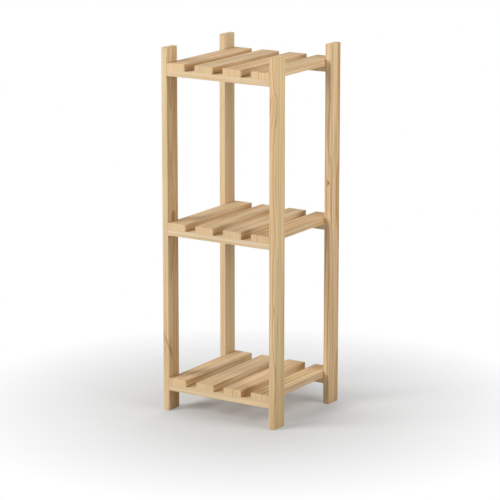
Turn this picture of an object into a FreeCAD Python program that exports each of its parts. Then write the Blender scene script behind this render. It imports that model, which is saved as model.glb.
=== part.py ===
import FreeCAD
import Part
import Sketcher
import os

# Open shelving unit in planed softwood: three slatted tiers between four flat posts.
# X runs along the front, Y from front to back, Z up. The origin is on the floor under the middle.
# Each batten end meets a post with one countersunk screw and a dowel on either side of it.
# The slats are stapled to the battens from below.

DRIVING_SIZES = {
    "overall_width": 320,
    "overall_depth": 300,
    "overall_height": 900,
    "top_overhang": 36,
    "foot_height": 52,
    "shelf_count": 3,
    "post_thickness": 16,
    "post_width": 45,
    "batten_thickness": 15,
    "batten_width": 45,
    "slat_thickness": 17,
    "slat_width": 50,
    "slat_count": 4,
    "slat_side_gap": 0.3,
    "arris_radius": 1,
    "end_chamfer": 1,
    "screw_head_diameter": 8,
    "screw_shank_diameter": 4,
    "screw_head_angle": 90,
    "screw_head_sink": 0.3,
    "screw_bite": 34,
    "screw_point": 5,
    "screw_clearance": 0.1,
    "drive_length": 4.4,
    "drive_width": 1,
    "drive_depth": 1.6,
    "dowel_diameter": 6,
    "dowel_spacing": 28,
    "dowel_cover": 5,
    "dowel_in_batten": 20,
    "dowel_chamfer": 0.6,
    "dowel_clearance": 0.05,
    "staple_crown": 9,
    "staple_wire_width": 1.25,
    "staple_wire_thickness": 1.05,
    "staple_sink": 0.3,
    "staple_cover": 4,
    "staple_clearance": 0.05,
    "blind_hole_gap": 0.5,
}

FULL_TURN = 360
HALF_TURN = 180
DRIVE_WING_COUNT = 4
SIDES = (-1, 1)
# Sketch references: the sketch's own origin, and a line's start, its end and a circle's centre
ROOT_INDEX = -1
START_INDEX = 1
END_INDEX = 2
CENTRE_INDEX = 3

# Sizes that follow from the driving ones
HALF_WIDTH = "(sizes.overall_width / 2)"
HALF_DEPTH = "(sizes.overall_depth / 2)"
INNER_WIDTH = "(sizes.overall_width - 2 * sizes.post_thickness)"
POST_ROW_X = f"({HALF_WIDTH} - sizes.post_thickness / 2)"
POST_ROW_Y = f"({HALF_DEPTH} - sizes.post_width / 2)"
SHELF_HEIGHT = "(sizes.batten_thickness + sizes.slat_thickness)"
SHELF_RISE = f"(sizes.overall_height - sizes.top_overhang - {SHELF_HEIGHT} - sizes.foot_height)"
SHELF_PITCH = f"({SHELF_RISE} / (sizes.shelf_count - 1))"
SLAT_SPAN = f"({INNER_WIDTH} - 2 * sizes.slat_side_gap - sizes.slat_width)"
SLAT_PITCH = f"({SLAT_SPAN} / (sizes.slat_count - 1))"
JOINT_HEIGHT = "(sizes.batten_thickness / 2)"

HEAD_SLOPE = "tan(sizes.screw_head_angle / 2)"
HEAD_TOP = f"({HALF_WIDTH} - sizes.screw_head_sink)"
HEAD_DEPTH = f"((sizes.screw_head_diameter - sizes.screw_shank_diameter) / 2 / {HEAD_SLOPE})"
SCREW_TIP = f"({INNER_WIDTH} / 2 - sizes.screw_bite)"
SCREW_HOLE = "(sizes.screw_shank_diameter + 2 * sizes.screw_clearance)"
SINK_SPREAD = f"(sizes.screw_head_sink * {HEAD_SLOPE} + sizes.screw_clearance)"
SINK_MOUTH = f"(sizes.screw_head_diameter + 2 * {SINK_SPREAD})"

DOWEL_OFFSET = "(sizes.dowel_spacing / 2)"
DOWEL_HOLE = "(sizes.dowel_diameter + 2 * sizes.dowel_clearance)"
DOWEL_SOCKET = "(sizes.post_thickness - sizes.dowel_cover)"
DOWEL_LENGTH = f"({DOWEL_SOCKET} - sizes.blind_hole_gap + sizes.dowel_in_batten)"

STAPLE_LANE = "(sizes.dowel_spacing / 4)"
STAPLE_HEIGHT = f"({SHELF_HEIGHT} - sizes.staple_cover)"
STAPLE_LEG_X = "((sizes.staple_crown - sizes.staple_wire_thickness) / 2)"
SLOT_CROWN = "(sizes.staple_crown + 2 * sizes.staple_clearance)"
SLOT_WIDTH = "(sizes.staple_wire_width + 2 * sizes.staple_clearance)"
SLOT_THICKNESS = "(sizes.staple_wire_thickness + 2 * sizes.staple_clearance)"
CROWN_RECESS = "(sizes.staple_sink + sizes.staple_wire_thickness + sizes.staple_clearance)"
LEG_SOCKET = f"({STAPLE_HEIGHT} - sizes.batten_thickness + sizes.blind_hole_gap)"

doc = FreeCAD.newDocument("shelving_unit")


def make_size_sheet():
    sheet = doc.addObject("Spreadsheet::Sheet", "sizes")
    for row, (name, value) in enumerate(DRIVING_SIZES.items(), 1):
        sheet.set(f"A{row}", name)
        sheet.set(f"B{row}", str(value))
        sheet.setAlias(f"B{row}", name)
    doc.recompute()
    return sheet


def new_body(label):
    body = doc.addObject("PartDesign::Body", label)
    body.Label = label
    return body


def place(body, x="0", y="0", z="0", turn=0):
    body.Placement = FreeCAD.Placement(FreeCAD.Vector(), FreeCAD.Rotation(FreeCAD.Vector(0, 0, 1), turn))
    body.setExpression("Placement.Base.x", x)
    body.setExpression("Placement.Base.y", y)
    body.setExpression("Placement.Base.z", z)


def origin_part(body, role):
    return next(item for item in body.Origin.OriginFeatures if item.Role == role)


def new_sketch(body, name, role, offset="0"):
    sketch = body.newObject("Sketcher::SketchObject", name)
    sketch.AttachmentSupport = [(origin_part(body, role), "")]
    sketch.MapMode = "FlatFace"
    sketch.setExpression("AttachmentOffset.Base.z", offset)
    return sketch


def fix_point(sketch, geometry, point, seed, x, y):
    for kind, value, expression in (("DistanceX", seed.x, x), ("DistanceY", seed.y, y)):
        pin = Sketcher.Constraint(kind, ROOT_INDEX, START_INDEX, geometry, point, value)
        index = sketch.addConstraint(pin)
        sketch.setExpression(f"Constraints[{index}]", expression)


def draw_polygon(sketch, corners):
    first = sketch.GeometryCount
    seeds = [FreeCAD.Vector(first + number, number % 2, 0) for number in range(len(corners))]
    ends = seeds[1:] + seeds[:1]
    for seed, end in zip(seeds, ends):
        sketch.addGeometry(Part.LineSegment(seed, end))
    for number in range(len(corners)):
        follower = first + (number + 1) % len(corners)
        link = Sketcher.Constraint("Coincident", first + number, END_INDEX, follower, START_INDEX)
        sketch.addConstraint(link)
    for number, (x, y) in enumerate(corners):
        fix_point(sketch, first + number, START_INDEX, seeds[number], x, y)


def draw_rectangle(sketch, length, width, x="0", y="0"):
    left = f"{x} - {length} / 2"
    right = f"{x} + {length} / 2"
    low = f"{y} - {width} / 2"
    high = f"{y} + {width} / 2"
    draw_polygon(sketch, [(left, low), (right, low), (right, high), (left, high)])


def draw_circle(sketch, diameter, x="0", y="0"):
    seed = FreeCAD.Vector(1, 1, 0)
    circle = sketch.addGeometry(Part.Circle(seed, FreeCAD.Vector(0, 0, 1), 1))
    fix_point(sketch, circle, CENTRE_INDEX, seed, x, y)
    index = sketch.addConstraint(Sketcher.Constraint("Diameter", circle, 1))
    sketch.setExpression(f"Constraints[{index}]", diameter)


def add_pad(body, name, sketch, length):
    pad = body.newObject("PartDesign::Pad", name)
    pad.Profile = sketch
    pad.setExpression("Length", length)
    return pad


def add_pocket(body, name, sketch, depth=None, along_normal=False):
    pocket = body.newObject("PartDesign::Pocket", name)
    pocket.Profile = sketch
    pocket.Reversed = along_normal
    if depth is None:
        pocket.Type = "ThroughAll"
    else:
        pocket.setExpression("Length", depth)
    return pocket


def add_row(body, name, axis, length, count, originals=()):
    doc.recompute()
    row = body.newObject("PartDesign::LinearPattern", name)
    if originals:
        row.Originals = list(originals)
    else:
        row.TransformMode = "Whole shape"
    row.Direction = (origin_part(body, axis), [""])
    row.setExpression("Length", length)
    row.setExpression("Occurrences", count)
    body.Tip = row
    return row


def add_mirror(body, name, plane, originals=()):
    doc.recompute()
    mirror = body.newObject("PartDesign::Mirrored", name)
    if originals:
        mirror.Originals = list(originals)
    else:
        mirror.TransformMode = "Whole shape"
    mirror.MirrorPlane = (origin_part(body, plane), [""])
    body.Tip = mirror
    return mirror


def edge_names(shape, test):
    return [f"Edge{number}" for number, edge in enumerate(shape.Edges, 1) if test(edge)]


def is_long(shape):
    half_diagonal = shape.BoundBox.DiagonalLength / 2
    return lambda edge: edge.Length > half_diagonal


def ease_long_edges(body, pad):
    doc.recompute()
    eased = body.newObject("PartDesign::Fillet", "eased_arrises")
    eased.Base = (pad, edge_names(pad.Shape, is_long(pad.Shape)))
    eased.setExpression("Radius", "sizes.arris_radius")
    doc.recompute()
    return eased


def make_post(label, x_side, y_side):
    body = new_body(label)
    section = new_sketch(body, "section", "XY_Plane")
    draw_rectangle(section, "sizes.post_thickness", "sizes.post_width")
    stick = add_pad(body, "stick", section, "sizes.overall_height")
    eased = ease_long_edges(body, stick)

    # Both ends are chamfered all round
    runs_along = is_long(eased.Shape)
    chamfer = body.newObject("PartDesign::Chamfer", "chamfered_ends")
    chamfer.Base = (eased, edge_names(eased.Shape, lambda edge: not runs_along(edge)))
    chamfer.setExpression("Size", "sizes.end_chamfer")

    # Screw holes are countersunk on the outer face, which is +X before the post is turned
    joint = f"sizes.foot_height + {JOINT_HEIGHT}"
    hole_centre = new_sketch(body, "screw_centre", "YZ_Plane", "sizes.post_thickness / 2")
    draw_circle(hole_centre, SCREW_HOLE, "0", joint)
    doc.recompute()
    hole = body.newObject("PartDesign::Hole", "screw_hole")
    hole.Profile = hole_centre
    doc.recompute()
    hole.DepthType = "ThroughAll"
    hole.HoleCutType = "Countersink"
    hole.HoleCutCustomValues = True
    hole.setExpression("Diameter", SCREW_HOLE)
    hole.setExpression("HoleCutDiameter", SINK_MOUTH)
    hole.setExpression("HoleCutCountersinkAngle", "sizes.screw_head_angle")

    # Blind dowel sockets are bored in the inner face
    sockets = new_sketch(body, "dowel_centres", "YZ_Plane", "-sizes.post_thickness / 2")
    for side in SIDES:
        draw_circle(sockets, DOWEL_HOLE, f"{side} * {DOWEL_OFFSET}", joint)
    socket = add_pocket(body, "dowel_sockets", sockets, DOWEL_SOCKET, along_normal=True)

    rise = f"{SHELF_PITCH} * (sizes.shelf_count - 1)"
    add_row(body, "joints_up_the_post", "Z_Axis", rise, "sizes.shelf_count", [hole, socket])
    turn = 0 if x_side > 0 else HALF_TURN
    place(body, f"{x_side} * {POST_ROW_X}", f"{y_side} * {POST_ROW_Y}", "0", turn)
    return body


def make_batten(label, y_side, shelf):
    body = new_body(label)
    section = new_sketch(body, "section", "YZ_Plane", f"-{INNER_WIDTH} / 2")
    draw_rectangle(section, "sizes.batten_width", "sizes.batten_thickness", "0", JOINT_HEIGHT)
    stick = add_pad(body, "stick", section, INNER_WIDTH)
    ease_long_edges(body, stick)

    # Each end takes the screw in a pilot hole between two dowels
    end = f"{INNER_WIDTH} / 2"
    pilot_centre = new_sketch(body, "pilot_centre", "YZ_Plane", end)
    draw_circle(pilot_centre, SCREW_HOLE, "0", JOINT_HEIGHT)
    pilot = add_pocket(body, "pilot", pilot_centre, "sizes.screw_bite + sizes.blind_hole_gap")
    dowel_centres = new_sketch(body, "dowel_centres", "YZ_Plane", end)
    for side in SIDES:
        draw_circle(dowel_centres, DOWEL_HOLE, f"{side} * {DOWEL_OFFSET}", JOINT_HEIGHT)
    bores = add_pocket(body, "dowel_bores", dowel_centres, "sizes.dowel_in_batten + sizes.blind_hole_gap")
    add_mirror(body, "other_end", "YZ_Plane", [pilot, bores])

    # Staple slots under each slat: a shallow one for the crown and two right through for the legs
    crowns = new_sketch(body, "crown_slots", "XY_Plane")
    legs = new_sketch(body, "leg_slots", "XY_Plane")
    first_slat = f"-{SLAT_SPAN} / 2"
    for side in SIDES:
        lane = f"{side} * {STAPLE_LANE}"
        draw_rectangle(crowns, SLOT_CROWN, SLOT_WIDTH, first_slat, lane)
        for leg_side in SIDES:
            leg = f"{first_slat} + {leg_side} * {STAPLE_LEG_X}"
            draw_rectangle(legs, SLOT_THICKNESS, SLOT_WIDTH, leg, lane)
    crown = add_pocket(body, "crown_recess", crowns, CROWN_RECESS, along_normal=True)
    leg_slot = add_pocket(body, "leg_passage", legs, along_normal=True)
    add_row(body, "under_each_slat", "X_Axis", SLAT_SPAN, "sizes.slat_count", [crown, leg_slot])
    place(body, "0", f"{y_side} * {POST_ROW_Y}", shelf)
    return body


def make_slat(label, number, shelf):
    body = new_body(label)
    section = new_sketch(body, "section", "XZ_Plane", f"-{HALF_DEPTH}")
    draw_rectangle(section, "sizes.slat_width", "sizes.slat_thickness", "0", "sizes.slat_thickness / 2")
    stick = add_pad(body, "stick", section, "sizes.overall_depth")
    ease_long_edges(body, stick)

    # Blind sockets for the staple legs, over the front batten and again over the back one
    legs = new_sketch(body, "leg_sockets", "XY_Plane")
    for side in SIDES:
        for leg_side in SIDES:
            lane = f"{side} * {STAPLE_LANE} - {POST_ROW_Y}"
            draw_rectangle(legs, SLOT_THICKNESS, SLOT_WIDTH, f"{leg_side} * {STAPLE_LEG_X}", lane)
    socket = add_pocket(body, "leg_socket", legs, LEG_SOCKET, along_normal=True)
    add_mirror(body, "over_back_batten", "XZ_Plane", [socket])
    place(body, f"{number} * {SLAT_PITCH} - {SLAT_SPAN} / 2", "0", f"{shelf} + sizes.batten_thickness")
    return body


def make_frame_screws(label, shelf):
    body = new_body(label)
    profile = new_sketch(body, "profile", "XZ_Plane", POST_ROW_Y)
    shank = "sizes.screw_shank_diameter / 2"
    draw_polygon(profile, [
        (SCREW_TIP, "0"),
        (f"{SCREW_TIP} + sizes.screw_point", shank),
        (f"{HEAD_TOP} - {HEAD_DEPTH}", shank),
        (HEAD_TOP, "sizes.screw_head_diameter / 2"),
        (HEAD_TOP, "0"),
    ])
    turned = body.newObject("PartDesign::Revolution", "turned_screw")
    turned.Profile = profile
    turned.ReferenceAxis = (profile, ["H_Axis"])
    turned.Angle = FULL_TURN

    # The cross recess is one wing, repeated about the screw's axis
    wing = new_sketch(body, "drive_wing", "YZ_Plane", HEAD_TOP)
    reach = "sizes.drive_length / 2"
    draw_rectangle(wing, reach, "sizes.drive_width", f"{reach} / 2 - {POST_ROW_Y}", "0")
    recess = add_pocket(body, "drive_recess", wing, "sizes.drive_depth")
    cross = body.newObject("PartDesign::PolarPattern", "drive_cross")
    cross.Originals = [recess]
    cross.Axis = (profile, ["H_Axis"])
    cross.Angle = FULL_TURN
    cross.Occurrences = DRIVE_WING_COUNT
    body.Tip = cross

    add_mirror(body, "front_and_back", "XZ_Plane")
    add_mirror(body, "left_and_right", "YZ_Plane")
    place(body, "0", "0", f"{shelf} + {JOINT_HEIGHT}")
    return body


def make_dowels(label, shelf):
    body = new_body(label)
    ends = new_sketch(body, "dowel_ends", "YZ_Plane", f"{INNER_WIDTH} / 2 - sizes.dowel_in_batten")
    for side in SIDES:
        draw_circle(ends, "sizes.dowel_diameter", f"{side} * {DOWEL_OFFSET} - {POST_ROW_Y}", "0")
    pair = add_pad(body, "dowel_pair", ends, DOWEL_LENGTH)
    doc.recompute()
    chamfer = body.newObject("PartDesign::Chamfer", "chamfered_ends")
    chamfer.Base = (pair, edge_names(pair.Shape, lambda edge: edge.isClosed()))
    chamfer.setExpression("Size", "sizes.dowel_chamfer")
    doc.recompute()
    add_mirror(body, "front_and_back", "XZ_Plane")
    add_mirror(body, "left_and_right", "YZ_Plane")
    place(body, "0", "0", f"{shelf} + {JOINT_HEIGHT}")
    return body


def make_staples(label, shelf):
    body = new_body(label)
    foot = "sizes.staple_sink"
    outer = "sizes.staple_crown / 2"
    inner = f"({outer} - sizes.staple_wire_thickness)"
    middle = f"-{SLAT_SPAN} / 2"
    for side in SIDES:
        plane = f"{POST_ROW_Y} + {side} * {STAPLE_LANE} - sizes.staple_wire_width / 2"
        bend = new_sketch(body, "bent_wire", "XZ_Plane", plane)
        draw_polygon(bend, [
            (f"{middle} - {outer}", foot),
            (f"{middle} + {outer}", foot),
            (f"{middle} + {outer}", STAPLE_HEIGHT),
            (f"{middle} + {inner}", STAPLE_HEIGHT),
            (f"{middle} + {inner}", f"{foot} + sizes.staple_wire_thickness"),
            (f"{middle} - {inner}", f"{foot} + sizes.staple_wire_thickness"),
            (f"{middle} - {inner}", STAPLE_HEIGHT),
            (f"{middle} - {outer}", STAPLE_HEIGHT),
        ])
        add_pad(body, "staple", bend, "sizes.staple_wire_width")
    add_row(body, "under_each_slat", "X_Axis", SLAT_SPAN, "sizes.slat_count")
    add_mirror(body, "front_and_back", "XZ_Plane")
    place(body, "0", "0", shelf)
    return body


def make_shelf(number, slat_count):
    label = f"shelf_{number + 1}"
    underside = f"sizes.foot_height + {number} * {SHELF_PITCH}"
    pieces = [
        make_batten(f"{label}_front_batten", -1, underside),
        make_batten(f"{label}_back_batten", 1, underside),
    ]
    for slat in range(slat_count):
        pieces.append(make_slat(f"{label}_slat_{slat + 1}", slat, underside))
    pieces.append(make_frame_screws(f"{label}_frame_screws", underside))
    pieces.append(make_dowels(f"{label}_dowels", underside))
    pieces.append(make_staples(f"{label}_staples", underside))
    return pieces


def check_pieces(pieces):
    for item in doc.Objects:
        if "Invalid" in item.State or "Error" in item.State:
            raise RuntimeError(f"{item.Label} did not recompute: {item.State}")
    for piece in pieces:
        if piece.Shape.isNull() or not piece.Shape.isValid():
            raise RuntimeError(f"{piece.Label} has no valid shape")


sheet = make_size_sheet()
pieces = [
    make_post("front_left_post", -1, -1),
    make_post("front_right_post", 1, -1),
    make_post("back_left_post", -1, 1),
    make_post("back_right_post", 1, 1),
]
for number in range(int(sheet.shelf_count)):
    pieces.extend(make_shelf(number, int(sheet.slat_count)))
doc.recompute()
check_pieces(pieces)

os.makedirs("parts", exist_ok=True)
for piece in pieces:
    piece.Shape.exportStep(os.path.join("parts", f"{piece.Label}.step"))
    print(piece.Label, len(piece.Shape.Solids), round(piece.Shape.Volume, 1))
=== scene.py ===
import math
import random

import bpy
from mathutils import Matrix, Vector


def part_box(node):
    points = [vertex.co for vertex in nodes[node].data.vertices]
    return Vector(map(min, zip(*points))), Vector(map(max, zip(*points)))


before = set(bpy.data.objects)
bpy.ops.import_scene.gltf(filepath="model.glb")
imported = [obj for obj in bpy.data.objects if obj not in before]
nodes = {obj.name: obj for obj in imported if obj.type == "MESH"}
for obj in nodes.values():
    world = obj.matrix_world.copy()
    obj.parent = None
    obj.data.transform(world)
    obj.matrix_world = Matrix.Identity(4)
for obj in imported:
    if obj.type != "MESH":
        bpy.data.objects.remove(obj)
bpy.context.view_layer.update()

print("frame loaded:", len(nodes), "nodes")


# node tree helpers

def addNode(tree, kind, **settings):
    node = tree.nodes.new(kind)
    for name, value in settings.items():
        setattr(node, name, value)
    return node


def feed(tree, socket, value):
    if isinstance(value, bpy.types.NodeSocket):
        tree.links.new(value, socket)
    else:
        socket.default_value = value


def fill(tree, node, *values):
    for socket, value in zip(node.inputs, values):
        feed(tree, socket, value)
    return node.outputs[0]


def mathOf(tree, operation, *values, clamp=False):
    node = addNode(tree, "ShaderNodeMath", operation=operation, use_clamp=clamp)
    return fill(tree, node, *values)


def vectorOf(tree, operation, *values):
    node = addNode(tree, "ShaderNodeVectorMath", operation=operation)
    fill(tree, node, *values)
    return node.outputs["Value" if operation in ("DOT_PRODUCT", "LENGTH") else "Vector"]


def combine(tree, x, y, z):
    return fill(tree, addNode(tree, "ShaderNodeCombineXYZ"), x, y, z)


def separate(tree, vector):
    node = addNode(tree, "ShaderNodeSeparateXYZ")
    fill(tree, node, vector)
    return node.outputs


def noiseOf(tree, vector, detail, roughness=0.5):
    node = addNode(tree, "ShaderNodeTexNoise", noise_dimensions="3D")
    feed(tree, node.inputs["Vector"], vector)
    node.inputs["Scale"].default_value = 1.0
    node.inputs["Detail"].default_value = detail
    node.inputs["Roughness"].default_value = roughness
    return node.outputs


def spread(tree, value, low, high, newLow=0.0, newHigh=1.0, smooth=False):
    curve = "SMOOTHSTEP" if smooth else "LINEAR"
    node = addNode(tree, "ShaderNodeMapRange", clamp=True, interpolation_type=curve)
    return fill(tree, node, value, low, high, newLow, newHigh)


mixPlaces = {"first": 6, "second": 7, "result": 2}      # Mix has one set of sockets for each kind of value


def blend(tree, kind, factor, first, second):
    node = addNode(tree, "ShaderNodeMix", data_type="RGBA", blend_type=kind)
    feed(tree, node.inputs["Factor"], factor)
    feed(tree, node.inputs[mixPlaces["first"]], first)
    feed(tree, node.inputs[mixPlaces["second"]], second)
    return node.outputs[mixPlaces["result"]]


def ramp(tree, value, stops):
    node = addNode(tree, "ShaderNodeValToRGB")
    elements = node.color_ramp.elements
    while len(elements) < len(stops):
        elements.new(1.0)
    for element, (place, shade) in zip(elements, stops):
        element.position = place
        element.color = (shade, shade, shade, 1.0)
    return fill(tree, node, value)


def objectPlace(tree):
    return addNode(tree, "ShaderNodeTexCoord").outputs["Object"]


def addBump(tree, shader, height, strength, distance):
    bump = addNode(tree, "ShaderNodeBump")
    bump.inputs["Strength"].default_value = strength
    bump.inputs["Distance"].default_value = distance
    feed(tree, bump.inputs["Height"], height)
    feed(tree, shader.inputs["Normal"], bump.outputs[0])


def newMaterial(name):
    material = bpy.data.materials.new(name)
    material.use_nodes = True
    return material, material.node_tree, material.node_tree.nodes["Principled BSDF"]


# screen colour, 0 to 255, to the linear colour that a shader takes
def linear(red, green, blue):
    def one(value):
        value = value / 255
        return value / 12.92 if value <= 0.04045 else ((value + 0.055) / 1.055) ** 2.4
    return (one(red), one(green), one(blue), 1.0)


# solid pine in board space: growth rings round a pith line, knots, streaks, veins and a browner bark side,
# which on the right-hand slats is painted shade

pineLook = {
    "earlyWood": linear(236, 211, 172),
    "lateWood": linear(198, 156, 108),
    "streakWood": linear(210, 171, 121),
    "veinWood": linear(150, 104, 64),
    "endWood": linear(238, 208, 163),
    "creamTint": (0.995, 1.02, 1.02, 1.0),
    "roseTint": (1.01, 0.965, 0.92, 1.0),
    # the stain tint browns wood and also paints shade on the right-hand slats' tops
    "stainAndShadeTint": (0.90, 0.87, 0.79, 1.0),
    # noises: cycles per metre along the board and across it, detail, roughness
    "wander": (2.8, 7.0, 1.0, 0.5),
    "ripple": (12.0, 45.0, 2.0, 0.5),
    "broad": (1.6, 24.0, 1.0, 0.5),
    "fibre": (24.0, 1300.0, 2.0, 0.6),
    "streak": (1.8, 170.0, 2.0, 0.55),
    "line": (3.0, 320.0, 1.5, 0.55),
    "blotch": (4.5, 18.0, 2.0, 0.5),
    "pore": (80.0, 2100.0, 1.0, 0.5),
    "seedSlant": 1.7,
    # rings: sizes in metres, unevenness in rings, and how dark the wood is through one year
    "rippleSize": 0.0024,
    "ringUnevenness": 1.5,
    "ringUnevenScale": 60.0,
    "oneYear": ((0.0, 0.10), (0.08, 0.0), (0.40, 0.05), (0.68, 0.35),
                (0.86, 0.95), (0.93, 1.0), (1.0, 0.10)),
    "ringsAtKnot": 0.9,
    # ranges: low and high of a noise, and what they become
    "yearTone": (0.0, 1.0, 0.12, 1.0),
    "ringFade": (0.32, 0.68, 0.45, 1.0),
    "streakMask": (0.44, 0.74, 0.0, 0.75),
    "lineMask": (0.48, 0.70, 0.0, 0.75),
    "poreMask": (0.66, 0.80, 0.0, 0.35),
    "fibreTone": (0.25, 0.75, 0.93, 1.05),
    "blotchTone": (0.25, 0.75, 0.93, 1.06),
    "hueMask": (0.36, 0.64, 0.0, 1.0),
    "hueFromBroad": 0.6,
    "hueFromStreak": 0.4,
    # bark side stain, also used as painted shade on the right-hand slats' tops, and resin veins, in metres
    "stainAndShadeSoftness": 0.010,
    "stainAtKnot": 0.008,
    "veinSway": 0.0045,
    "veinThinnest": 0.00005,
    "veinTaper": (0.2, 1.0, 1.0, 0.0),
    # sanded long edges, paler than the faces: partly wear, partly a painted highlight along the arris
    "arris": 0.0016,
    "arrisHighlight": 0.35,
    # surface
    "roughness": (0.2, 0.8, 0.60, 0.76),
    "lateGloss": 0.06,
    "endRoughness": 0.12,
    "wornGloss": 0.25,
    "fibreHeight": 0.5,
    "lateHeight": 0.5,
    "poreDepth": 0.8,
    "knotHeight": 0.6,
    "bumpStrength": 0.35,
    "bumpDistance": 0.0004,
    "specular": 0.12,
    "endFacing": (0.75, 0.95),
}
knotLook = {
    "wood": linear(158, 108, 68),
    "rimWood": linear(118, 74, 44),
    "stretch": 0.62,              # a knot's swirl is longer than wide
    "flow": 0.36,                 # the less, the further rings bend round it
    "push": 2.2,                  # in knot radii
    "wobble": 60.0,
    "rings": 3.3,
    "ringTone": (0.0, 1.0, 1.1, 0.85),
    # by distance in knot radii
    "heartFade": (0.80, 1.20, 1.0, 0.0),
    "rimRise": (0.65, 1.0, 0.0, 1.0),
    "rimFall": (1.0, 1.5, 1.0, 0.0),
    "haloFade": (1.0, 4.0, 0.5, 0.0),
    "heartDepth": 0.75,
    "rimDepth": 0.55,
}
pineNumbers = ("Pith Across", "Pith Through", "Ring Width", "Wander", "Seed", "Contrast",
               "Streaks", "Knot Along", "Knot Angle", "Knot Radius", "Knot Heart", "Knot Lean",
               "Knot 2 Along", "Knot 2 Angle", "Knot 2 Radius", "Knot 2 Heart", "Knot 2 Lean",
               "Vein Reach", "Vein Width", "Vein Strength", "Stain And Shade Edge", "Stain And Shade Slope", "Stain And Shade Depth",
               "Half Across", "Half Through", "End Grain", "End Rings")
tiny = 0.0001                     # keeps a board without knot or vein from dividing by zero


def makePineGroup():
    look = pineLook
    group = bpy.data.node_groups.new("pineGrain", "ShaderNodeTree")

    def addSocket(name, kind, direction="INPUT"):
        group.interface.new_socket(name=name, in_out=direction, socket_type="NodeSocket" + kind)

    addSocket("Board", "Vector")
    for name in pineNumbers:
        addSocket(name, "Float")
    addSocket("Vein Place", "Vector")
    addSocket("Vein Normal", "Vector")
    addSocket("Tint", "Color")
    addSocket("Color", "Color", "OUTPUT")
    addSocket("Roughness", "Float", "OUTPUT")
    addSocket("Height", "Float", "OUTPUT")
    given = addNode(group, "NodeGroupInput").outputs
    result = addNode(group, "NodeGroupOutput").inputs

    def calc(operation, *values, clamp=False):
        return mathOf(group, operation, *values, clamp=clamp)

    def plus(first, second):
        return calc("ADD", first, second)

    def minus(first, second):
        return calc("SUBTRACT", first, second)

    def times(first, second, clamp=False):
        return calc("MULTIPLY", first, second, clamp=clamp)

    def lengthOf(first, second):
        return calc("SQRT", plus(times(first, first), times(second, second)))

    def ease(value, span):
        return spread(group, value, *span, smooth=True)

    def grey(value):
        return combine(group, value, value, value)

    def mixIn(color, factor, other):
        return blend(group, "MIX", factor, color, other)

    def tinted(color, tint, factor=1.0):
        return blend(group, "MULTIPLY", factor, color, tint)

    board = given["Board"]
    seed = given["Seed"]
    along, across, through = separate(group, board)
    shift = combine(group, seed, times(seed, look["seedSlant"]), seed)

    def noise(name):
        alongScale, acrossScale, detail, roughness = look[name]
        scaled = vectorOf(group, "MULTIPLY", board, (alongScale, acrossScale, acrossScale))
        return noiseOf(group, vectorOf(group, "ADD", scaled, shift), detail, roughness)

    def swayed(color, amount):
        moved = vectorOf(group, "SUBTRACT", color, (0.5, 0.5, 0.5))
        return vectorOf(group, "MULTIPLY", moved, grey(amount))

    # rings wander slowly along the board, and ripple a little
    wander = swayed(noise("wander")["Color"], given["Wander"])
    wavy = noise("ripple")["Color"]
    sway = vectorOf(group, "ADD", wander, swayed(wavy, look["rippleSize"]))
    swaySide, swayDeep, swayAlong = separate(group, sway)
    side = minus(across, given["Pith Across"])
    deep = minus(through, given["Pith Through"])
    evenRadius = lengthOf(plus(side, swaySide), plus(deep, swayDeep))

    # a knot is a branch that leaves the pith at an angle: rings swell round it
    def knot(prefix):
        size = given[prefix + " Radius"]
        cosine = calc("COSINE", given[prefix + " Angle"])
        sine = calc("SINE", given[prefix + " Angle"])
        reach = plus(times(side, cosine), times(deep, sine))
        off = minus(times(side, sine), times(deep, cosine))
        rise = times(minus(along, given[prefix + " Along"]), knotLook["stretch"])
        # a lean over 1 draws the swirl out towards the board's low end
        rise = calc("MAXIMUM", rise, calc("DIVIDE", rise, times(given[prefix + " Lean"], -1.0)))
        apart = plus(lengthOf(off, rise), calc("LESS_THAN", reach, 0.0))
        ratio = calc("DIVIDE", apart, calc("MAXIMUM", size, tiny))
        ratio = plus(ratio, times(swayAlong, knotLook["wobble"]))
        flow = times(ratio, knotLook["flow"])
        swell = calc("EXPONENT", times(times(flow, flow), -1.0))
        rim = times(ease(ratio, knotLook["rimRise"]), ease(ratio, knotLook["rimFall"]))
        return {
            "ratio": ratio,
            "swell": swell,
            "push": times(swell, times(size, knotLook["push"])),
            "heart": times(ease(ratio, knotLook["heartFade"]), given[prefix + " Heart"]),
            "rim": times(rim, given[prefix + " Heart"]),
        }

    first = knot("Knot")
    second = knot("Knot 2")
    radius = minus(evenRadius, plus(first["push"], second["push"]))
    knotRatio = calc("MINIMUM", first["ratio"], second["ratio"])
    swell = calc("MAXIMUM", first["swell"], second["swell"])
    heart = calc("MAXIMUM", first["heart"], second["heart"])
    rim = calc("MAXIMUM", first["rim"], second["rim"])

    # ring number, with uneven ring widths and rings that fade in and out
    uneven = addNode(group, "ShaderNodeTexNoise", noise_dimensions="1D")
    feed(group, uneven.inputs["W"], plus(times(radius, look["ringUnevenScale"]), seed))
    uneven.inputs["Scale"].default_value = 1.0
    uneven.inputs["Detail"].default_value = 1.0
    turns = calc("DIVIDE", radius, given["Ring Width"])
    turns = plus(turns, times(uneven.outputs["Fac"], look["ringUnevenness"]))
    year = addNode(group, "ShaderNodeTexWhiteNoise", noise_dimensions="1D")
    feed(group, year.inputs["W"], plus(calc("FLOOR", turns), seed))
    yearTone = spread(group, year.outputs["Value"], *look["yearTone"])
    late = ramp(group, calc("FRACT", turns), look["oneYear"])
    broad = noise("broad")["Fac"]
    fading = plus(spread(group, broad, *look["ringFade"]), times(swell, look["ringsAtKnot"]))
    late = times(times(late, yearTone), times(given["Contrast"], fading), clamp=True)

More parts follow.
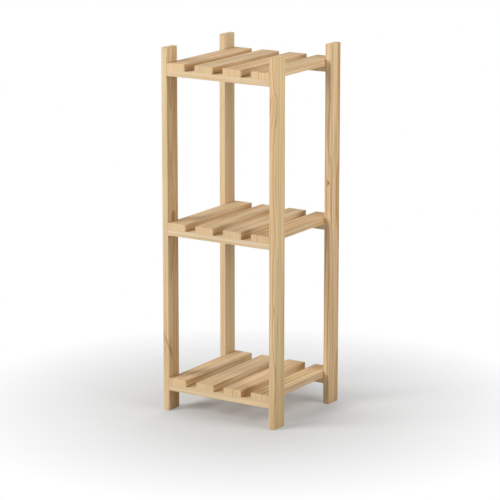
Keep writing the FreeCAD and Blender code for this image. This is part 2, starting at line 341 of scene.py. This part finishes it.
    # fibres, long streaks and lines, broad tone and resin pores
    fibre = noise("fibre")["Fac"]
    streak = noise("streak")["Fac"]
    blotch = noise("blotch")["Fac"]
    streakMask = times(ease(streak, look["streakMask"]), given["Streaks"])
    lineMask = times(ease(noise("line")["Fac"], look["lineMask"]), given["Streaks"])
    poreMask = spread(group, noise("pore")["Fac"], *look["poreMask"])
    fibreTone = spread(group, fibre, *look["fibreTone"])
    blotchTone = spread(group, blotch, *look["blotchTone"])
    tone = grey(times(fibreTone, blotchTone))
    hue = plus(times(broad, look["hueFromBroad"]), times(streak, look["hueFromStreak"]))
    hueTint = mixIn(look["creamTint"], ease(hue, look["hueMask"]), look["roseTint"])
    color = mixIn(look["earlyWood"], late, look["lateWood"])
    color = mixIn(color, streakMask, look["streakWood"])
    color = mixIn(color, lineMask, look["lateWood"])
    color = mixIn(color, poreMask, look["lateWood"])
    color = tinted(tinted(color, hueTint), tone)

    # browner wood creeps in from the bark side and round knots; a stain slope moves its edge along the
    # board, so one end is darker; on the right-hand slats it is painted shade that darkens their tops
    stainAndShadeEdge = plus(given["Stain And Shade Edge"], times(along, given["Stain And Shade Slope"]))
    stainAndShade = minus(plus(evenRadius, times(swell, look["stainAtKnot"])), stainAndShadeEdge)
    stainAndShade = ease(stainAndShade, (-look["stainAndShadeSoftness"], look["stainAndShadeSoftness"]))
    color = tinted(color, look["stainAndShadeTint"], times(stainAndShade, given["Stain And Shade Depth"]))

    # a vein is a thin resin sheet through the board: it shows as a line where it meets a face
    fromVein = vectorOf(group, "SUBTRACT", board, given["Vein Place"])
    fromVein = vectorOf(group, "ADD", fromVein, swayed(wavy, look["veinSway"]))
    offVein = calc("ABSOLUTE", vectorOf(group, "DOT_PRODUCT", fromVein, given["Vein Normal"]))
    veinReach = calc("MAXIMUM", given["Vein Reach"], tiny)
    veinTaper = ease(calc("DIVIDE", vectorOf(group, "LENGTH", fromVein), veinReach), look["veinTaper"])
    veinWide = calc("MAXIMUM", times(veinTaper, given["Vein Width"]), look["veinThinnest"])
    vein = calc("SUBTRACT", 1.0, calc("DIVIDE", offVein, veinWide), clamp=True)
    vein = times(times(vein, given["Vein Strength"]), veinTaper, clamp=True)
    color = mixIn(color, vein, look["veinWood"])

    # knot halo, heart and rim
    halo = times(ease(knotRatio, knotLook["haloFade"]), heart)
    knotTone = spread(group, calc("FRACT", times(knotRatio, knotLook["rings"])), *knotLook["ringTone"])
    color = mixIn(color, halo, look["streakWood"])
    color = mixIn(color, times(heart, knotLook["heartDepth"]), tinted(knotLook["wood"], grey(knotTone)))
    color = mixIn(color, times(rim, knotLook["rimDepth"]), knotLook["rimWood"])

    # sawn ends show rings only, and sanded long edges are a little paler, partly from wear and partly as a
    # painted highlight
    endRing = times(late, given["End Rings"], clamp=True)
    endColor = mixIn(look["endWood"], endRing, look["lateWood"])
    color = mixIn(color, given["End Grain"], tinted(tinted(endColor, hueTint), tone))
    nearSide = minus(given["Half Across"], calc("ABSOLUTE", across))
    nearFace = minus(given["Half Through"], calc("ABSOLUTE", through))
    edge = plus(calc("MAXIMUM", nearSide, 0.0), calc("MAXIMUM", nearFace, 0.0))
    edge = plus(edge, times(minus(blotch, 0.5), look["arris"]))
    # paler long edges: partly sanded wear, partly a painted highlight
    wearAndHighlight = ease(edge, (0.0, look["arris"], look["arrisHighlight"], 0.0))
    color = mixIn(color, wearAndHighlight, look["earlyWood"])
    feed(group, result["Color"], tinted(color, given["Tint"]))

    # late wood and worn edges shine a little more, and pores are sunk
    rough = minus(spread(group, fibre, *look["roughness"]), times(late, look["lateGloss"]))
    rough = plus(rough, times(given["End Grain"], look["endRoughness"]))
    feed(group, result["Roughness"], minus(rough, times(wearAndHighlight, look["wornGloss"])))
    height = plus(times(fibre, look["fibreHeight"]), times(late, look["lateHeight"]))
    height = minus(height, times(poreMask, look["poreDepth"]))
    feed(group, result["Height"], plus(height, times(heart, look["knotHeight"])))
    return group


pineGroup = makePineGroup()

# how each kind of stick lies: the turn that brings it into board space, and its axes in the room
lie = {
    "post": {"turn": (0.0, math.pi / 2, 0.0), "grain": 2, "across": 1, "through": 0},
    "batten": {"turn": (0.0, 0.0, 0.0), "grain": 0, "across": 1, "through": 2},
    "slat": {"turn": (0.0, 0.0, -math.pi / 2), "grain": 1, "across": 0, "through": 2},
}
usualBoard = {"End Rings": 1.3, "Knot Lean": 1.0, "Knot 2 Lean": 1.0}


def makePineMaterial(name, kind, board):
    low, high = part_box(name)
    middle = (Vector(low) + Vector(high)) / 2
    half = (Vector(high) - Vector(low)) / 2
    material, tree, shader = newMaterial(name + "_pine")
    turn = Matrix.Identity(3)
    for axis, angle in zip("XYZ", lie[kind]["turn"]):
        turn = Matrix.Rotation(angle, 3, axis) @ turn
    place = addNode(tree, "ShaderNodeMapping", vector_type="POINT")
    place.inputs["Rotation"].default_value = lie[kind]["turn"]
    place.inputs["Location"].default_value = -(turn @ middle)
    feed(tree, place.inputs["Vector"], objectPlace(tree))
    facing = separate(tree, addNode(tree, "ShaderNodeNewGeometry").outputs["Normal"])
    endOn = mathOf(tree, "ABSOLUTE", facing[lie[kind]["grain"]])

    board = {**usualBoard, **board}
    for prefix in ("Knot", "Knot 2"):
        if prefix in board:
            along, across, through, radius, heart = board.pop(prefix)
            deep = through - board["Pith Through"]
            side = across - board["Pith Across"]
            board[prefix + " Along"] = along
            board[prefix + " Angle"] = math.atan2(deep, side)
            board[prefix + " Radius"] = radius
            board[prefix + " Heart"] = heart
    board["Half Across"] = half[lie[kind]["across"]]
    board["Half Through"] = half[lie[kind]["through"]]
    grain = addNode(tree, "ShaderNodeGroup", node_tree=pineGroup)
    feed(tree, grain.inputs["Board"], place.outputs[0])
    feed(tree, grain.inputs["End Grain"], spread(tree, endOn, *pineLook["endFacing"]))
    for socket, value in board.items():
        grain.inputs[socket].default_value = value
    feed(tree, shader.inputs["Base Color"], grain.outputs["Color"])
    feed(tree, shader.inputs["Roughness"], grain.outputs["Roughness"])
    addBump(tree, shader, grain.outputs["Height"], pineLook["bumpStrength"], pineLook["bumpDistance"])
    shader.inputs["Specular IOR Level"].default_value = pineLook["specular"]
    nodes[name].material_slots[0].material = material


# places are metres from the board's middle, along, across and through; a knot adds its radius and heart
posts = {
    "front_left_post": {
        "Pith Across": -0.008, "Pith Through": 0.040, "Ring Width": 0.0065, "Wander": 0.030, "Seed": 707.2,
        "Contrast": 0.80, "Streaks": 0.7, "Tint": (0.97, 0.96, 0.94, 1.0),
        "Knot": (0.066, 0.000, -0.008, 0.0040, 0.0), "Knot 2": (0.036, 0.001, -0.008, 0.0070, 0.7),
        "Vein Place": (-0.288, -0.0215, -0.008), "Vein Normal": (0.34, 0.58, -0.74), "Vein Reach": 0.060,
        "Vein Width": 0.0038, "Vein Strength": 0.60,
        "Stain And Shade Edge": 0.052, "Stain And Shade Slope": 0.0, "Stain And Shade Depth": 1.0},
    "front_right_post": {
        "Pith Across": -0.030, "Pith Through": 0.030, "Ring Width": 0.0052, "Wander": 0.044, "Seed": 817.3,
        "Contrast": 1.05, "Streaks": 0.5, "Tint": (1.0, 0.98, 0.92, 1.0),
        "Knot": (0.347, -0.0225, 0.001, 0.0050, 0.0), "Knot Lean": 2.5,
        "Knot 2": (-0.150, -0.0225, 0.004, 0.0021, 0.0), "Knot 2 Lean": 3.5,
        "Vein Place": (-0.240, -0.0120, -0.008), "Vein Normal": (-0.05, 1.0, 0.0), "Vein Reach": 0.16,
        "Vein Width": 0.0026, "Vein Strength": 0.55,
        "Stain And Shade Edge": 0.066, "Stain And Shade Slope": 0.08, "Stain And Shade Depth": 0.9},
    "back_left_post": {
        "Pith Across": 0.050, "Pith Through": -0.010, "Ring Width": 0.0060, "Wander": 0.024, "Seed": 19.7,
        "Contrast": 0.28, "Streaks": 0.4, "Tint": (0.93, 0.915, 0.91, 1.0)},
    "back_right_post": {
        "Pith Across": 0.030, "Pith Through": 0.034, "Ring Width": 0.0066, "Wander": 0.036, "Seed": 27.2,
        "Contrast": 1.4, "Streaks": 1.2, "Tint": (1.0, 0.97, 0.955, 1.0),
        "Knot": (0.110, -0.0225, -0.004, 0.0016, 0.9),
        "Vein Place": (0.080, -0.0180, -0.008), "Vein Normal": (0.008, 1.0, 0.0), "Vein Reach": 0.15,
        "Vein Width": 0.0024, "Vein Strength": 0.8},
}
for name, board in posts.items():
    makePineMaterial(name, "post", board)

# slats and battens differ by chance, within these ranges; tones and end rings go by shelf and slat, and the
# shelf tones are painted shade, darkening each shelf's slats for the light that reaches them, most on the
# middle shelf
shelfBoards = {
    "seed": 2,
    "battenTint": {"1": (1.02, 1.02, 1.02), "2": (0.99, 1.03, 1.11), "3": (0.98, 0.99, 1.02)},
    "shelfShadeTone": {"1": 0.985, "2": 0.95, "3": 0.97},
    "slatTone": {"1": 0.95, "2": 0.94, "3": 0.975, "4": 0.98},
    "slatTint": (1.0, 0.99, 1.0),
    "shadedTopSlat": "4",                # painted shade: its top is darkened with the stain tint, as the top takes less light than its outer side
    "shadedTopFrom": 0.015,              # metres from its middle line, on the outer side
    "shadedTopDepth": 1.0,
    "endRings": {"1": (0.8, 0.9, 0.8, 1.5), "2": (0.5, 0.35, 0.35, 1.4), "3": (0.5, 0.45, 0.35, 1.5)},
    "pithAcross": (0.07, 0.14),
    "pithThrough": (-0.012, 0.012),
    "grainSeed": (30.0, 90.0),
    "ringWidth": {"batten": (0.006, 0.009), "slat": (0.007, 0.012)},
    "wander": {"batten": (0.006, 0.014), "slat": (0.012, 0.028)},
    "contrast": {"batten": (0.20, 0.35), "slat": (0.75, 1.1)},
    "streaks": {"batten": (0.45, 0.60), "slat": (1.0, 1.35)},
}
chance = random.Random(shelfBoards["seed"])


def boardByChance(kind):
    return {
        "Pith Across": chance.choice((-1, 1)) * chance.uniform(*shelfBoards["pithAcross"]),
        "Pith Through": chance.uniform(*shelfBoards["pithThrough"]),
        "Ring Width": chance.uniform(*shelfBoards["ringWidth"][kind]),
        "Wander": chance.uniform(*shelfBoards["wander"][kind]),
        "Seed": chance.uniform(*shelfBoards["grainSeed"]),
        "Contrast": chance.uniform(*shelfBoards["contrast"][kind]),
        "Streaks": chance.uniform(*shelfBoards["streaks"][kind]),
    }


for name in sorted(nodes):
    shelf = name.split("_")[1]
    if name.endswith("batten"):
        board = boardByChance("batten")
        board["Tint"] = (*shelfBoards["battenTint"][shelf], 1.0)
        makePineMaterial(name, "batten", board)
    elif "_slat_" in name:
        slat = name.split("_")[-1]
        board = boardByChance("slat")
        # painted shade: the shelf tone darkens the slats shelf by shelf
        tone = shelfBoards["shelfShadeTone"][shelf] * shelfBoards["slatTone"][slat]
        board["Tint"] = (*(tone * part for part in shelfBoards["slatTint"]), 1.0)
        board["End Rings"] = shelfBoards["endRings"][shelf][int(slat) - 1]
        # painted shade: the stain darkens the right-hand slat's top, which takes less light than its outer
        # side
        if slat == shelfBoards["shadedTopSlat"]:
            heart = abs(board["Pith Across"])
            board["Pith Across"] = -heart
            board["Stain And Shade Edge"] = heart - shelfBoards["shadedTopFrom"]
            board["Stain And Shade Depth"] = shelfBoards["shadedTopDepth"]
        makePineMaterial(name, "slat", board)
print("pine materials made")


# beech dowels: pale pink-brown with short dark flecks along the pin

beechLook = {
    "pale": linear(222, 184, 144),
    "dark": linear(190, 146, 106),
    "fleck": linear(140, 96, 62),
    "grain": (40.0, 900.0, 900.0),       # cycles per metre along the pin and across it
    "grainDetail": 3.0,
    "grainRoughness": 0.6,
    "grainRange": (0.3, 0.7),
    "flecks": (260.0, 1900.0, 1900.0),
    "fleckDetail": 1.0,
    "fleckMask": (0.60, 0.72, 0.0, 0.7),
    "roughness": (0.55, 0.70),
    "bumpStrength": 0.3,
    "bumpDistance": 0.0002,
    "specular": 0.2,
}


def makeBeech():
    look = beechLook
    material, tree, shader = newMaterial("beech")
    place = objectPlace(tree)
    drawnOut = vectorOf(tree, "MULTIPLY", place, look["grain"])
    grain = noiseOf(tree, drawnOut, look["grainDetail"], look["grainRoughness"])["Fac"]
    fleck = noiseOf(tree, vectorOf(tree, "MULTIPLY", place, look["flecks"]), look["fleckDetail"])["Fac"]
    fleck = spread(tree, fleck, *look["fleckMask"], smooth=True)
    color = blend(tree, "MIX", spread(tree, grain, *look["grainRange"]), look["pale"], look["dark"])
    rough = spread(tree, grain, *look["grainRange"], *look["roughness"])
    feed(tree, shader.inputs["Base Color"], blend(tree, "MIX", fleck, color, look["fleck"]))
    feed(tree, shader.inputs["Roughness"], rough)
    addBump(tree, shader, mathOf(tree, "SUBTRACT", grain, fleck), look["bumpStrength"], look["bumpDistance"])
    shader.inputs["Specular IOR Level"].default_value = look["specular"]
    return material


# plated metal of the screws and staples, a little cloudy

metalLook = {
    "yellowZinc": {"color": linear(226, 198, 146), "roughness": (0.47, 0.65)},
    "greyZinc": {"color": linear(176, 176, 172), "roughness": (0.32, 0.50)},
}
cloudLook = {
    "scale": (900.0, 900.0, 900.0),      # cycles per metre
    "detail": 3.0,
    "range": (0.3, 0.7),
    "tone": (0.85, 1.1),
}


def makeMetal(name):
    look = metalLook[name]
    material, tree, shader = newMaterial(name)
    place = vectorOf(tree, "MULTIPLY", objectPlace(tree), cloudLook["scale"])
    cloud = noiseOf(tree, place, cloudLook["detail"])["Fac"]
    tone = spread(tree, cloud, *cloudLook["range"], *cloudLook["tone"])
    color = blend(tree, "MULTIPLY", 1.0, look["color"], combine(tree, tone, tone, tone))
    feed(tree, shader.inputs["Base Color"], color)
    feed(tree, shader.inputs["Roughness"], spread(tree, cloud, *cloudLook["range"], *look["roughness"]))
    shader.inputs["Metallic"].default_value = 1.0
    return material


fittings = {
    "frame_screws": makeMetal("yellowZinc"),
    "staples": makeMetal("greyZinc"),
    "dowels": makeBeech(),
}
for name in nodes:
    for ending, material in fittings.items():
        if name.endswith(ending):
            nodes[name].material_slots[0].material = material
print("screws, staples and dowels finished")


# floor and light

white = (1.0, 1.0, 1.0, 1.0)
worldStrength = 0.03
floorLook = {
    "size": 40.0,
    "color": (0.61, 0.615, 0.615, 1.0),
    "roughness": 0.9,
    "fade": (0.134, 0.752, 0.125, 1.0),  # metres from the middle, near and far, and the share of white there
}
softboxAim = (0.0, 0.0, 0.45)
softboxes = {
    "keySoftbox": {
        "azimuth": -36, "elevation": 26, "distance": 3.4, "width": 1.5, "height": 2.2, "power": 102},
    "sideHighSoftbox": {
        "azimuth": 90, "elevation": 35, "distance": 1.7, "width": 1.0, "height": 1.0, "power": 11.2},
    "sideLowSoftbox": {
        "azimuth": 78, "elevation": 15, "distance": 2.6, "width": 1.0, "height": 1.0, "power": 13.2},
    "backTopSoftbox": {
        "azimuth": -140, "elevation": 60, "distance": 2.8, "width": 2.0, "height": 2.0, "power": 26},
    "backLowSoftbox": {
        "azimuth": 192, "elevation": 5, "distance": 3.2, "width": 1.2, "height": 0.9, "power": 14},
}


# 1 where the floor or the world is looked at, straight or in a reflection, and 0 for light that it gives
def plainlySeen(tree):
    path = addNode(tree, "ShaderNodeLightPath").outputs
    mirrored = mathOf(tree, "MAXIMUM", path["Is Glossy Ray"], path["Is Transmission Ray"])
    return mathOf(tree, "MAXIMUM", path["Is Camera Ray"], mirrored)


def mixShaders(tree, factor, first, second):
    mix = addNode(tree, "ShaderNodeMixShader")
    return fill(tree, mix, factor, first.outputs[0], second.outputs[0])


def makeFloor():
    bpy.ops.object.select_all(action="DESELECT")
    bpy.ops.mesh.primitive_plane_add(size=floorLook["size"], location=(0.0, 0.0, 0.0))
    floor = bpy.context.object
    floor.name = "floor"
    material, tree, shader = newMaterial("paleFloor")
    shader.inputs["Base Color"].default_value = floorLook["color"]
    shader.inputs["Roughness"].default_value = floorLook["roughness"]
    glow = addNode(tree, "ShaderNodeEmission")
    glow.inputs["Color"].default_value = white
    fade = spread(tree, vectorOf(tree, "LENGTH", objectPlace(tree)), *floorLook["fade"])
    seen = mathOf(tree, "MULTIPLY", fade, plainlySeen(tree))
    feed(tree, tree.nodes["Material Output"].inputs["Surface"], mixShaders(tree, seen, shader, glow))
    floor.data.materials.append(material)


def makeWorld():
    world = bpy.data.worlds.new("studio")
    bpy.context.scene.world = world
    world.use_nodes = True
    tree = world.node_tree
    faint = tree.nodes["Background"]
    backdrop = addNode(tree, "ShaderNodeBackground")
    for background, strength in ((faint, worldStrength), (backdrop, 1.0)):
        background.inputs["Color"].default_value = white
        background.inputs["Strength"].default_value = strength
    mixed = mixShaders(tree, plainlySeen(tree), faint, backdrop)
    feed(tree, tree.nodes["World Output"].inputs["Surface"], mixed)


def lookFrom(thing, aim, azimuth, elevation, distance):
    turn = math.radians(azimuth)
    lift = math.radians(elevation)
    back = Vector((math.sin(turn) * math.cos(lift), -math.cos(turn) * math.cos(lift), math.sin(lift)))
    thing.location = Vector(aim) + back * distance
    thing.rotation_euler = (-back).to_track_quat("-Z", "Y").to_euler()


def makeSoftbox(name, azimuth, elevation, distance, width, height, power):
    data = bpy.data.lights.new(name, "AREA")
    data.shape = "RECTANGLE"
    data.size = width
    data.size_y = height
    data.energy = power
    lamp = bpy.data.objects.new(name, data)
    bpy.context.scene.collection.objects.link(lamp)
    lookFrom(lamp, softboxAim, azimuth, elevation, distance)


makeFloor()
makeWorld()
for name, box in softboxes.items():
    makeSoftbox(name, **box)
print("floor and light made")


# camera: long lens from the front right, a little above

cameraView = {
    "aim": (-0.004, 0.0, 0.3937),
    "azimuth": 32.3,              # degrees round from the front
    "elevation": 13.3,
    "distance": 6.2,
    "lens": 182.7,                # millimetres, on the usual 36 mm sensor
}


def makeCamera(aim, azimuth, elevation, distance, lens):
    data = bpy.data.cameras.new("camera")
    data.lens = lens
    camera = bpy.data.objects.new("camera", data)
    bpy.context.scene.collection.objects.link(camera)
    lookFrom(camera, aim, azimuth, elevation, distance)
    bpy.context.scene.camera = camera


makeCamera(**cameraView)
bpy.context.scene.view_settings.view_transform = "Standard"
print("camera made")
